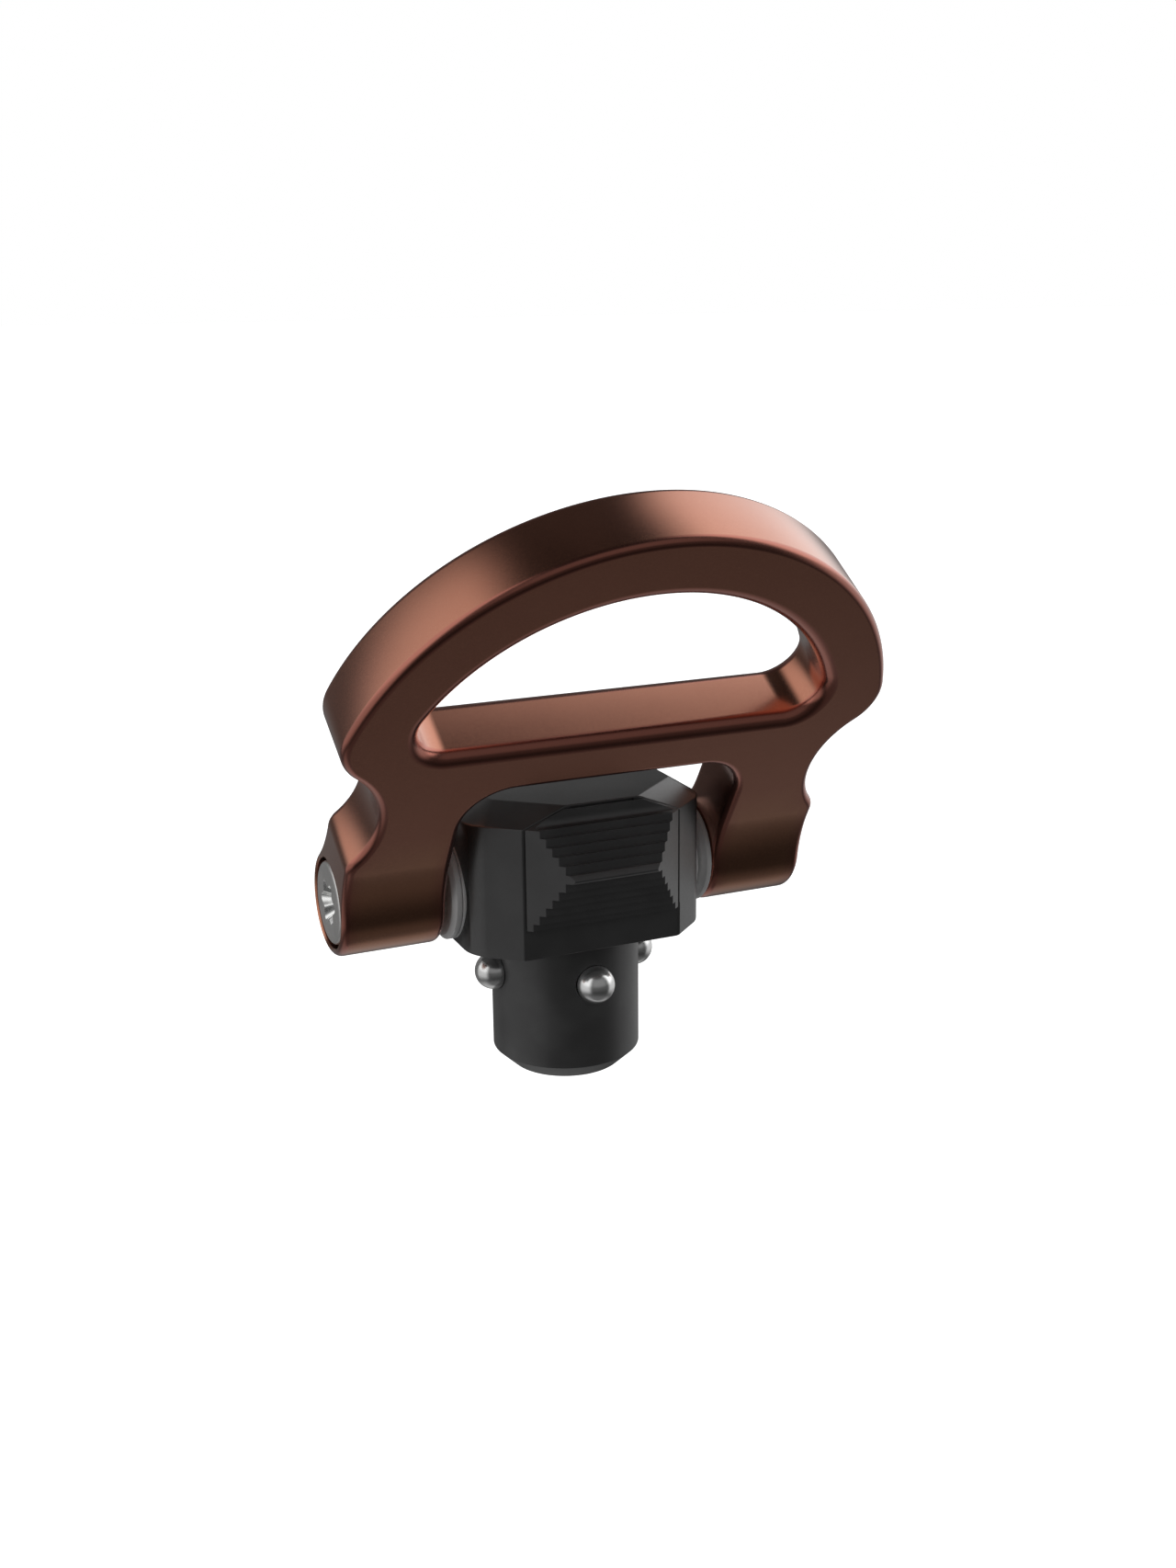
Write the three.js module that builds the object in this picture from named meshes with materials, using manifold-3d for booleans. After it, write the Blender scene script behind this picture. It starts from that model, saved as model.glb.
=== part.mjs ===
// Ball-lock swivel ring: a hinged loop on a block that swivels on a
// quick-release stud with four locking balls. Millimetres, +Z up.
// Origin: the stud's axis at the level of the block's seat face.
// X is the loop's hinge axis, -Y is the front finger pad's side.
import * as THREE from 'three';
import { mergeVertices } from 'three/addons/utils/BufferGeometryUtils.js';
import Module from 'manifold-3d';

const wasm = await Module();
wasm.setup();

// ---- driving dimensions (mm) ----
const D2R = Math.PI / 180;
const TILT = 32.5;            // loop leaned forward from upright, degrees
const ZP = 3.35;              // hinge axis height above the seat face
// stud
const STUD_R = 4.75;          // 9.5 mm stud
const STUD_LOW = -9.45;
const STUD_CHAMFER_Z = -8.38;
const STUD_TIP_R = 3.6;
const STUD_TOP = 5.4;
const BORE_R = 3.8;
const BORE_LOW = -6.0;
const BALL_R = 1.19;          // 3/32 in ball
const BALL_AT = 4.95;         // ball centre from the axis
const BALL_Z = -2.8;
const BALL_HOLE_R = 1.22;
// block
const HALF_FRONT = 5.15;      // half width of the flat front and back
const DEEP = 6.15;            // half depth at the pad seams
const BEVEL = 40.87 * D2R;    // plan angle of the bevels from X
const HALF_END = 7.83;        // half length across the hinge ends
const END_ROUND = 2.5;        // plan rounding between bevel and end
const Z1 = 8.29;              // shoulder starts
const Z2 = 9.46;              // top face
const SHOULDER_IN = 1.83;     // how far the shoulder leans in
const BLOCK_BORE_R = 4.79;
const BLOCK_BORE_TOP = 5.6;
const STEM_HOLE_R = 1.7;
const STEM_HOLE_TOP = 8.8;
const GROOVE_W = 3.0;         // pad guide groove
const GROOVE_D = 0.8;
const GROOVE_TOP = 9.2;
const LEDGE = 1.93;           // pads stop on this height
const PIN_Z = 6.25;
const PIN_R = 0.6;
const SLOT_TOP = 8.72;        // cross pin's slot
// pads
const SEAM = 0.1;             // running gap at the seam
const LIFT = 1.75;            // release travel
// loop
const LOOP_HALF_W = 15.5;
const PLATE_HALF = 2.25;
const BOSS_R = 3.3;
const BLEND_V = 5.0;          // plate starts this far above the hinge
const OUT_R = 17.5, OUT_V = 11.2;     // outer arc
const SHOULDER_R = 3.0;
const SCALLOP_R = 5.15, SCALLOP_X = 19.2, SCALLOP_V = 9.2;
const FORK_HALF = 9.0, FORK_TOP = 10.7, FORK_R = 3.0;
const SLOT_V = 14.17, SLOT_R = 13.75, SLOT_C = 10.87, SLOT_CORNER = 1.95;
const CB_R = 2.8, CB_DEEP = 2.05;     // counterbore for the screw head
const LEG_BORE_R = 2.0;
// hinge hardware
const HEAD_R = 2.58, HEAD_OUT = 15.45, HEAD_IN = 13.6;
const SCREW_R = 1.5, SCREW_TIP = 5.5;
const BUSH_OUT = 1.97, BUSH_IN = 1.53;
const RIM_R = 3.3;
const WASHER_T = 0.6, WASHER_LEFT = 8.0, WASHER_RIGHT = 8.33;   // the loose washers float between block and legs
const SPOT_R = 3.55, SPOT_X = 7.62;
const TORX_OUT = 1.4, TORX_IN = 1.03, TORX_DEEP = 1.1;

// ---- materials ----
const mat = (c, r, m) => new THREE.MeshStandardMaterial({ color: c, roughness: r, metalness: m });
const COPPER = mat(0x7c4a38, 0.38, 0.9);
const BLACK = mat(0x232324, 0.45, 0.6);
const STEEL = mat(0xb9bab8, 0.3, 1.0);
const SPRING = mat(0x8f9294, 0.35, 1.0);
const BRONZE = mat(0xa07a45, 0.5, 0.9);

// ---- solids ----
function toSolid(geo, matrix) {
  let g = geo.clone();
  if (matrix) g.applyMatrix4(matrix);
  for (const k of Object.keys(g.attributes)) if (k !== 'position') g.deleteAttribute(k);
  g = mergeVertices(g, 1e-5);
  const idx = g.index.array, pos = g.attributes.position.array;
  const keep = [];
  for (let i = 0; i < idx.length; i += 3) {
    const a = idx[i], b = idx[i + 1], c = idx[i + 2];
    if (a !== b && b !== c && a !== c) keep.push(a, b, c);
  }
  const mesh = new wasm.Mesh({ numProp: 3, vertProperties: new Float32Array(pos), triVerts: new Uint32Array(keep) });
  return new wasm.Manifold(mesh);
}
function toMesh(solid, name, material) {
  const m = solid.getMesh();
  const g = new THREE.BufferGeometry();
  g.setAttribute('position', new THREE.BufferAttribute(new Float32Array(m.vertProperties), 3));
  g.setIndex(new THREE.BufferAttribute(new Uint32Array(m.triVerts), 1));
  g.computeVertexNormals();
  const mesh = new THREE.Mesh(g, material);
  mesh.name = name;
  return mesh;
}
const move = (x, y, z) => new THREE.Matrix4().makeTranslation(x, y, z);
function basis(x, y, z, at) {
  const m = new THREE.Matrix4().makeBasis(new THREE.Vector3(...x), new THREE.Vector3(...y), new THREE.Vector3(...z));
  m.setPosition(at[0], at[1], at[2]);
  return m;
}
const box = (x0, x1, y0, y1, z0, z1) =>
  toSolid(new THREE.BoxGeometry(x1 - x0, y1 - y0, z1 - z0), move((x0 + x1) / 2, (y0 + y1) / 2, (z0 + z1) / 2));
function extrude(points, depth, matrix, holes) {
  const s = new THREE.Shape(points.map((p) => new THREE.Vector2(p[0], p[1])));
  for (const h of holes || []) s.holes.push(new THREE.Path(h.map((p) => new THREE.Vector2(p[0], p[1]))));
  return toSolid(new THREE.ExtrudeGeometry(s, { depth, bevelEnabled: false, steps: 1 }), matrix);
}
// closed profile of [r, z] turned about Z, then placed
function turned(profile, matrix, seg = 48) {
  const pts = profile.map((p) => new THREE.Vector2(p[0], p[1]));
  pts.push(pts[0].clone());
  const up = new THREE.Matrix4().makeRotationX(Math.PI / 2);
  return toSolid(new THREE.LatheGeometry(pts, seg), matrix ? matrix.clone().multiply(up) : up);
}
const rod = (r, z0, z1, matrix, seg = 40) => turned([[0, z0], [r, z0], [r, z1], [0, z1]], matrix, seg);
// matrix that lays Z along +X, for hinge hardware
const ALONG_X = basis([0, 1, 0], [0, 0, 1], [1, 0, 0], [0, 0, ZP]);
const ALONG_Y = basis([1, 0, 0], [0, 0, -1], [0, 1, 0], [0, 0, 0]);
const sideX = (s) => (s > 0 ? ALONG_X : basis([0, -1, 0], [0, 0, 1], [-1, 0, 0], [0, 0, ZP]));
function arc(cx, cy, r, a0, a1, n) {
  const out = [];
  for (let i = 0; i <= n; i++) {
    const a = a0 + ((a1 - a0) * i) / n;
    out.push([cx + r * Math.cos(a), cy + r * Math.sin(a)]);
  }
  return out;
}

// ---- block ----
// plan outline at a given shoulder inset, counterclockwise, same count each time
function blockPlan(inset) {
  const xf = HALF_FRONT - inset / Math.sin(BEVEL);
  // corner rounding keeps its centre while its radius shrinks
  const t = END_ROUND * Math.tan((Math.PI / 2 - BEVEL) / 2);
  const cornerY = DEEP - (HALF_END - HALF_FRONT) * Math.tan(BEVEL);
  const cx = HALF_END - END_ROUND, cy = cornerY - t;
  const r = END_ROUND - inset;
  const a0 = -(Math.PI / 2 - BEVEL);
  const q = arc(cx, -cy, r, a0, 0, 5);          // lower right corner
  const p = [[xf, -DEEP], ...q];
  const up = p.map(([x, y]) => [x, -y]).reverse();
  const right = [...p, ...up];
  const left = right.map(([x, y]) => [-x, -y]);
  return [...right, ...left];
}
function loft(rings) {
  const n = rings[0].pts.length, v = [], f = [];
  for (const r of rings) for (const p of r.pts) v.push(p[0], p[1], r.z);
  for (let k = 0; k + 1 < rings.length; k++)
    for (let i = 0; i < n; i++) {
      const j = (i + 1) % n, a = k * n + i, b = k * n + j, c = a + n, d = b + n;
      f.push(a, b, d, a, d, c);
    }
  for (let i = 1; i + 1 < n; i++) {
    f.push(0, i + 1, i);
    const o = (rings.length - 1) * n;
    f.push(o, o + i, o + i + 1);
  }
  const g = new THREE.BufferGeometry();
  g.setAttribute('position', new THREE.BufferAttribute(new Float32Array(v), 3));
  g.setIndex(f);
  return toSolid(g);
}
let block = loft([{ z: 0, pts: blockPlan(0) }, { z: Z1, pts: blockPlan(0) }, { z: Z2, pts: blockPlan(SHOULDER_IN) }]);
block = block.subtract(rod(BLOCK_BORE_R, -1, BLOCK_BORE_TOP, null, 64));
block = block.subtract(turned([[4.0, 1.2], [5.3, 1.2], [5.3, 1.8], [4.0, 1.8]], null, 64));
block = block.subtract(rod(STEM_HOLE_R, 5, STEM_HOLE_TOP));
block = block.subtract(box(-0.63, 0.63, -7, 7, BLOCK_BORE_TOP, SLOT_TOP));
for (const s of [-1, 1]) {
  const y0 = s > 0 ? DEEP - GROOVE_D : -DEEP - 1, y1 = s > 0 ? DEEP + 1 : -DEEP + GROOVE_D;
  block = block.subtract(box(-GROOVE_W / 2, GROOVE_W / 2, y0, y1, LEDGE, GROOVE_TOP));
  block = block.subtract(rod(SPOT_R, SPOT_X, 12, sideX(s), 56));
  block = block.subtract(rod(SCREW_R + 0.02, 4.7, 9, sideX(s)));
}

// ---- finger pads (front one; the rear one is the same turned round) ----
const P = -DEEP - SEAM;
const padProfile = [
  [P, 1.98], [-6.52, 1.98], [-6.52, 2.43], [-6.78, 2.43], [-6.78, 2.99], [-7.05, 2.99], [-7.05, 3.54],
  [-7.32, 3.54], [-7.32, 4.08], [-7.59, 4.08], [-7.59, 4.63], [-7.87, 4.63], [-7.87, 5.16],
  [-8.14, 5.16], [-8.29, 5.46], [-8.14, 5.7], [-7.87, 5.7], [-7.87, 6.24], [-7.61, 6.24], [-7.61, 6.77],
  [-7.35, 6.77], [-7.35, 7.3], [-7.1, 7.3], [-7.1, 7.84], [-6.85, 7.84], [-6.85, 8.33],
  [-6.6, 8.36], [-6.45, 8.48], [-6.36, 8.72], [-6.32, 9.1], [-6.3, Z2], [P, Z2],
];
let pad = extrude(padProfile, 13, basis([0, 1, 0], [0, 0, 1], [1, 0, 0], [-6.5, 0, 0]));
{
  const k = 1 / Math.tan(BEVEL);
  const yo = -8.5, w = HALF_FRONT - (-yo - DEEP) * k, wi = HALF_FRONT - (-P - DEEP) * k;
  pad = pad.intersect(extrude([[-wi, P], [-w, yo], [w, yo], [wi, P]], 12, move(0, 0, -1)));
  // shoulder planes carried over from the block
  const phi = Math.atan2(Z2 - Z1, SHOULDER_IN);
  for (const s of [-1, 1]) {
    const nb = new THREE.Vector3(s * Math.sin(BEVEL), -Math.cos(BEVEL), 0);
    const n = nb.clone().multiplyScalar(Math.sin(phi)).add(new THREE.Vector3(0, 0, Math.cos(phi)));
    const along = new THREE.Vector3(0, 0, 1).cross(nb).normalize();
    const third = new THREE.Vector3().crossVectors(n, along);
    const m = new THREE.Matrix4().makeBasis(along, third, n);
    const at = new THREE.Vector3(s * HALF_FRONT, -DEEP, Z1).addScaledVector(n, 10);
    m.setPosition(at);
    pad = pad.subtract(toSolid(new THREE.BoxGeometry(40, 40, 20), m));
  }
  // guide tongue behind the pad, and the blind hole for the cross pin
  pad = pad.add(box(-1.44, 1.44, P - 0.02, -DEEP + GROOVE_D - 0.08, 2.0, 7.3));
  pad = pad.subtract(rod(PIN_R + 0.01, -7.2, -5, ALONG_Y.clone().premultiply(move(0, 0, PIN_Z))));
}
const rearPad = pad.transform ? pad.rotate([0, 0, 180]) : pad;

// ---- release: cross pin, plunger, spring ----
const crossPin = rod(PIN_R, -7.15, 7.15, ALONG_Y.clone().premultiply(move(0, 0, PIN_Z)));
const cone = Math.sqrt(1 + 0.64);
const coneAtBall = BALL_AT - (BALL_R + 0.02) * cone;      // cone radius level with the balls
const coneR = (z) => coneAtBall + (z - BALL_Z) * 0.8;
const topR = 3.74, zTop = BALL_Z + (topR - coneAtBall) / 0.8;
const lowR = 1.95, zLow = BALL_Z + (lowR - coneAtBall) / 0.8;
let plunger = turned([[0, -5.7], [lowR - 0.3, -5.7], [lowR, -5.4], [lowR, zLow], [coneR(zTop), zTop], [topR, -0.6],
  [1.6, -0.6], [1.6, 6.75], [1.4, 6.95], [0, 6.95]], null, 56);
plunger = plunger.subtract(rod(PIN_R + 0.01, -3, 3, ALONG_Y.clone().premultiply(move(0, 0, PIN_Z))));
class Helix extends THREE.Curve {
  getPoint(t, target = new THREE.Vector3()) {
    const a = t * Math.PI * 2 * 5.2;
    // closed end coils
    const z = -0.6 + 0.32 + (5.6 + 0.6 - 0.64) * t;
    return target.set(2.65 * Math.cos(a), 2.65 * Math.sin(a), z);
  }
}
function spring() {
  const c = arc(0, 0, 0.3, 0, 2 * Math.PI * 7 / 8, 7);
  const s = new THREE.Shape(c.map((p) => new THREE.Vector2(p[0], p[1])));
  return toSolid(new THREE.ExtrudeGeometry(s, { steps: 150, bevelEnabled: false, extrudePath: new Helix() }));
}

// ---- stud ----
let stud = turned([[0, STUD_LOW], [STUD_TIP_R, STUD_LOW], [STUD_R, STUD_CHAMFER_Z], [STUD_R, 1.25], [4.4, 1.25], [4.4, 1.75],
  [STUD_R, 1.75], [STUD_R, STUD_TOP - 0.2], [STUD_R - 0.2, STUD_TOP], [BORE_R, STUD_TOP], [BORE_R, BORE_LOW], [0, BORE_LOW]], null, 72);
const QUARTER = [0, 90, 180, 270];
for (const a of QUARTER) {
  const m = new THREE.Matrix4().makeRotationZ(a * D2R).multiply(basis([0, 1, 0], [0, 0, 1], [1, 0, 0], [0, 0, BALL_Z]));
  stud = stud.subtract(rod(BALL_HOLE_R, 2.5, 6, m, 36));
}
// snap ring with a gap, half in the stud's groove and half in the block's
const ringPts = [...arc(0, 0, 5.2, 12 * D2R, 348 * D2R, 56), ...arc(0, 0, 4.45, 348 * D2R, 12 * D2R, 56)];
const snapRing = extrude(ringPts, 0.4, move(0, 0, 1.3));
function ball(a) {
  const m = new THREE.Matrix4().makeRotationZ(a * D2R).multiply(move(BALL_AT, 0, BALL_Z));
  return toSolid(new THREE.IcosahedronGeometry(BALL_R, 4), m);
}

// ---- loop ----
// in the loop's own plane: x across, v up from the hinge, w towards the front
const ca = Math.cos(TILT * D2R), sa = Math.sin(TILT * D2R);
const LOOP = basis([1, 0, 0], [0, -sa, ca], [0, -ca, -sa], [0, 0, ZP]);
function loopOutline() {
  // shoulder circle, inside the outer arc and outside the scallop
  const d1 = OUT_R - SHOULDER_R, d2 = SCALLOP_R + SHOULDER_R;
  const dx = SCALLOP_X, dy = SCALLOP_V - OUT_V, L = Math.hypot(dx, dy);
  const a = (d1 * d1 - d2 * d2 + L * L) / (2 * L), h = Math.sqrt(d1 * d1 - a * a);
  const sx = (a * dx - h * dy) / L, sv = OUT_V + (a * dy + h * dx) / L;
  const aTop = Math.atan2(sv - OUT_V, sx);
  const aLow = Math.atan2(SCALLOP_V - sv, SCALLOP_X - sx);
  const scTop = Math.atan2(sv - SCALLOP_V, sx - SCALLOP_X);
  const scLow = Math.PI + Math.acos((SCALLOP_X - LOOP_HALF_W) / SCALLOP_R);
  const right = [
    [LOOP_HALF_W, -4.2],
    ...arc(SCALLOP_X, SCALLOP_V, SCALLOP_R, scLow, scTop, 12),
    ...arc(sx, sv, SHOULDER_R, aLow, aTop, 8).slice(1),
    ...arc(0, OUT_V, OUT_R, aTop, Math.PI / 2, 22).slice(1),
  ];
  const left = right.slice(0, -1).map(([x, v]) => [-x, v]).reverse();
  const c = FORK_HALF - FORK_R, k = FORK_TOP - FORK_R;
  const fork = [[-FORK_HALF, -4.2], ...arc(-c, k, FORK_R, Math.PI, Math.PI / 2, 8), ...arc(c, k, FORK_R, Math.PI / 2, 0, 8), [FORK_HALF, -4.2]];
  return [...right, ...left, ...fork];
}
function slotOutline() {
  const h = SLOT_V + SLOT_CORNER - SLOT_C, xs = Math.sqrt((SLOT_R - SLOT_CORNER) ** 2 - h * h), a0 = Math.atan2(h, xs);
  return [
    ...arc(xs, SLOT_V + SLOT_CORNER, SLOT_CORNER, -Math.PI / 2, a0, 8),
    ...arc(0, SLOT_C, SLOT_R, a0, Math.PI - a0, 34).slice(1, -1),
    ...arc(-xs, SLOT_V + SLOT_CORNER, SLOT_CORNER, Math.PI - a0, Math.PI * 1.5, 8),
  ];
}
// side profile of the legs: round boss blending into the plate
function sideProfile() {
  const rho = (BLEND_V * BLEND_V - BOSS_R * BOSS_R + PLATE_HALF * PLATE_HALF) / (2 * (BOSS_R - PLATE_HALF));
  const qc = PLATE_HALF + rho, aT = Math.atan2(BLEND_V, qc);
  const blend = arc(qc, BLEND_V, rho, Math.PI, Math.PI + aT, 8);     // plate down to the boss
  const boss = arc(0, 0, BOSS_R, aT, -Math.PI - aT, 40).slice(1, -1);
  const right = [[PLATE_HALF, 31], ...blend];
  const left = right.map(([q, v]) => [-q, v]).reverse();
  return [...right, ...boss, ...left];
}
let loop = extrude(loopOutline(), 8, LOOP.clone().multiply(move(0, 0, -4)), [slotOutline()]);
const side = extrude(sideProfile(), 36, LOOP.clone().multiply(basis([0, 0, 1], [0, 1, 0], [-1, 0, 0], [18, 0, 0])));
loop = loop.intersect(side);
for (const s of [-1, 1]) {
  loop = loop.subtract(rod(LEG_BORE_R, 8, 14.5, sideX(s)));
  loop = loop.subtract(rod(CB_R, LOOP_HALF_W - CB_DEEP, 17, sideX(s), 48));
}

// ---- hinge hardware ----
function torx() {
  const out = [];
  for (let i = 0; i < 72; i++) {
    const a = (i / 72) * 2 * Math.PI, r = (TORX_OUT + TORX_IN) / 2 + ((TORX_OUT - TORX_IN) / 2) * Math.cos(6 * a);
    out.push([r * Math.cos(a), r * Math.sin(a)]);
  }
  return out;
}
function screw(s) {
  let g = turned([[0, SCREW_TIP], [SCREW_R - 0.3, SCREW_TIP], [SCREW_R, SCREW_TIP + 0.3], [SCREW_R, HEAD_IN], [HEAD_R, HEAD_IN],
    [HEAD_R, HEAD_OUT - 0.25], [HEAD_R - 0.25, HEAD_OUT], [0, HEAD_OUT]], sideX(s), 48);
  return g.subtract(extrude(torx(), 3, sideX(s).clone().multiply(move(0, 0, HEAD_OUT - TORX_DEEP))));
}
const bush = (s) => turned([[BUSH_IN, 9.02], [BUSH_OUT, 9.02], [BUSH_OUT, HEAD_IN - 0.05], [BUSH_IN, HEAD_IN - 0.05]], sideX(s), 40);
// both flat washers go on the same way round, chamfer to the left
function washer(s) {
  const a = s < 0 ? WASHER_LEFT : WASHER_RIGHT, b = a + WASHER_T;
  const left = [[1.58, a], [RIM_R - 0.05, a], [RIM_R, a + 0.05], [RIM_R, b - 0.25], [RIM_R - 0.3, b], [1.58, b]];
  const right = [[1.58, a], [RIM_R - 0.3, a], [RIM_R, a + 0.25], [RIM_R, b - 0.05], [RIM_R - 0.05, b], [1.58, b]];
  return turned(s < 0 ? left : right, sideX(s), 56);
}
const discSpring = (s) => turned([[1.6, 7.66], [RIM_R, 7.72], [RIM_R, 7.92], [RIM_R - 0.02, 7.96], [1.6, 7.9]], sideX(s), 56);

// ---- assembly ----
const group = new THREE.Group();
group.name = 'ball_lock_swivel_ring';
const put = (solid, name, material) => group.add(toMesh(solid, name, material));
put(stud, 'stud_sleeve', BLACK);
put(snapRing, 'snap_ring', SPRING);
['right', 'rear', 'left', 'front'].forEach((w, i) => put(ball(QUARTER[i]), 'lock_ball_' + w, STEEL));
put(block, 'swivel_block', BLACK);
put(pad, 'finger_pad_front', BLACK);
put(rearPad, 'finger_pad_rear', BLACK);
put(crossPin, 'cross_pin', STEEL);
put(plunger, 'plunger', STEEL);
put(spring(), 'return_spring', SPRING);
put(loop, 'loop', COPPER);
for (const [s, w] of [[-1, 'left'], [1, 'right']]) {
  put(screw(s), 'pivot_screw_' + w, STEEL);
  put(bush(s), 'pivot_bush_' + w, BRONZE);
  put(washer(s), 'washer_' + w, STEEL);
  put(discSpring(s), 'disc_spring_' + w, STEEL);
}
export default group;
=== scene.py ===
import bpy
import bmesh
import math
import numpy as np
from mathutils import Matrix, Vector
from mathutils.geometry import delaunay_2d_cdt


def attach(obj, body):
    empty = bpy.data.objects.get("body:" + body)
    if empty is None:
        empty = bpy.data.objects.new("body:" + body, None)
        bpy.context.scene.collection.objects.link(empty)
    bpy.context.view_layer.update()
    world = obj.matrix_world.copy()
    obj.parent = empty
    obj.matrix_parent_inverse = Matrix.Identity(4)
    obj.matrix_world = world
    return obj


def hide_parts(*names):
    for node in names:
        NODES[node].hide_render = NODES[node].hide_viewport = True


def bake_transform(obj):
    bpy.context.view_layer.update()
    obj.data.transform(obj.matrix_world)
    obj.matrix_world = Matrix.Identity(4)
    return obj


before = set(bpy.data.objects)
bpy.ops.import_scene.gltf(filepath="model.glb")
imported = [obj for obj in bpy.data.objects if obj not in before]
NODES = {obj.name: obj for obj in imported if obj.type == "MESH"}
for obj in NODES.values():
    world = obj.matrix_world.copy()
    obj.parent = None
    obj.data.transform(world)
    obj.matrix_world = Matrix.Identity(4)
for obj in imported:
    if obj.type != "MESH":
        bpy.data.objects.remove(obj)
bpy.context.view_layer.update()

MM = 0.001

# ------------------------------------------------------------------ sizes, mm
TILT = math.radians(32.5)
ZP = 3.35
STUD_R = 4.75
BALL_R, BALL_AT, BALL_Z = 1.19, 4.95, -2.8
HALF_FRONT, DEEP, BEVEL = 5.15, 6.15, math.radians(40.87)
HALF_END, END_ROUND = 7.83, 2.5
Z1, Z2, SHOULDER_IN = 8.29, 9.46, 1.83
SEAM_Y = -6.25
PLATE, BOSS_R, BLEND_V = 2.25, 3.3, 5.0
OUT_R, OUT_V = 17.5, 11.2
SHOULDER_R = 3.0
SC_R, SC_X, SC_V = 5.15, 19.2, 9.2
HALF_W = 15.5
FORK, FORK_TOP, FORK_R = 9.0, 10.75, 3.0
SLOT_V, SLOT_R, SLOT_C, SLOT_CORNER = 14.17, 13.8, 10.82, 1.95
EDGE_R, SLOT_EDGE_R = 0.5, 0.85


# ------------------------------------------------------------------ helpers
def new_object(name, verts, faces, smooth_deg=30.0):
    me = bpy.data.meshes.new(name)
    me.from_pydata([tuple(c * MM for c in v) for v in verts], [], faces)
    me.validate()
    ob = bpy.data.objects.new(name, me)
    bpy.context.scene.collection.objects.link(ob)
    bm = bmesh.new()
    bm.from_mesh(me)
    bmesh.ops.remove_doubles(bm, verts=bm.verts, dist=2e-7)
    bmesh.ops.dissolve_degenerate(bm, edges=bm.edges, dist=1e-8)
    bmesh.ops.recalc_face_normals(bm, faces=bm.faces)
    bm.to_mesh(me)
    bm.free()
    shade(ob, smooth_deg)
    return ob


def shade(ob, deg=30.0):
    me = ob.data
    me.polygons.foreach_set("use_smooth", [True] * len(me.polygons))
    me.set_sharp_from_angle(angle=math.radians(deg))
    me.update()


def bake(ob):
    """Turns the object's modifiers into its mesh."""
    dg = bpy.context.evaluated_depsgraph_get()
    bpy.context.view_layer.update()
    me = bpy.data.meshes.new_from_object(ob.evaluated_get(dg))
    old = ob.data
    ob.modifiers.clear()
    ob.data = me
    bpy.data.meshes.remove(old)
    return ob


def boolean(ob, cutters, how="DIFFERENCE"):
    for c in cutters:
        m = ob.modifiers.new("cut", "BOOLEAN")
        m.operation = how
        m.solver = "EXACT"
        m.object = c
    bake(ob)
    for c in cutters:
        bpy.data.objects.remove(c, do_unlink=True)
    return ob


def place(points, m):
    return [tuple(m @ Vector(p)) for p in points]


def lathe(name, profile, m=Matrix.Identity(4), seg=128, smooth_deg=30.0):
    """closed profile of (r, z) turned about Z; points on the axis become single vertices."""
    verts, rows = [], []
    for r, z in profile:
        if r < 1e-6:
            rows.append([len(verts)] * seg)
            verts.append((0, 0, z))
        else:
            rows.append(list(range(len(verts), len(verts) + seg)))
            verts += [(r * math.cos(2 * math.pi * i / seg), r * math.sin(2 * math.pi * i / seg), z) for i in range(seg)]
    faces = []
    n = len(rows)
    for k in range(n):
        a, b = rows[k], rows[(k + 1) % n]
        if a[0] == a[1] and b[0] == b[1]:
            continue
        for i in range(seg):
            j = (i + 1) % seg
            f = []
            for v in (a[i], a[j], b[j], b[i]):
                if v not in f:
                    f.append(v)
            if len(f) > 2:
                faces.append(f)
    return new_object(name, place(verts, m), faces, smooth_deg)


def prism(name, pts, depth, m=Matrix.Identity(4), smooth_deg=30.0):
    n = len(pts)
    verts = [(p[0], p[1], 0) for p in pts] + [(p[0], p[1], depth) for p in pts]
    faces = [list(range(n))[::-1], list(range(n, 2 * n))]
    faces += [[i, (i + 1) % n, n + (i + 1) % n, n + i] for i in range(n)]
    return new_object(name, place(verts, m), faces, smooth_deg)


def block_box(name, lo, hi):
    x0, y0, z0 = lo
    x1, y1, z1 = hi
    return prism(name, [(x0, y0), (x1, y0), (x1, y1), (x0, y1)], z1 - z0, Matrix.Translation((0, 0, z0)))


def arc(cx, cy, r, a0, a1, n):
    return [(cx + r * math.cos(a0 + (a1 - a0) * i / n), cy + r * math.sin(a0 + (a1 - a0) * i / n)) for i in range(n + 1)]


def rounded(profile, radii, n=5):
    """rounds the corners of a closed (r, z) profile; radii maps corner index to radius."""
    out = []
    count = len(profile)
    for i, p in enumerate(profile):
        r = radii.get(i, 0)
        if not r:
            out.append(p)
            continue
        a, b = Vector(profile[i - 1]), Vector(profile[(i + 1) % count])
        c = Vector(p)
        u, w = (a - c).normalized(), (b - c).normalized()
        half = math.acos(max(-1, min(1, u.dot(w)))) / 2
        t = r / math.tan(half)
        centre = c + (u + w).normalized() * (r / math.sin(half))
        s, e = c + u * t - centre, c + w * t - centre
        a0, a1 = math.atan2(s.y, s.x), math.atan2(e.y, e.x)
        d = (a1 - a0 + math.pi) % (2 * math.pi) - math.pi
        out += arc(centre.x, centre.y, r, a0, a0 + d, n)
    return out


def basis(x, y, z, at):
    m = Matrix((x, y, z)).transposed().to_4x4()
    m.translation = Vector(at)
    return m


def side_x(s):
    if s > 0:
        return basis((0, 1, 0), (0, 0, 1), (1, 0, 0), (0, 0, ZP))
    return basis((0, -1, 0), (0, 0, 1), (-1, 0, 0), (0, 0, ZP))


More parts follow.
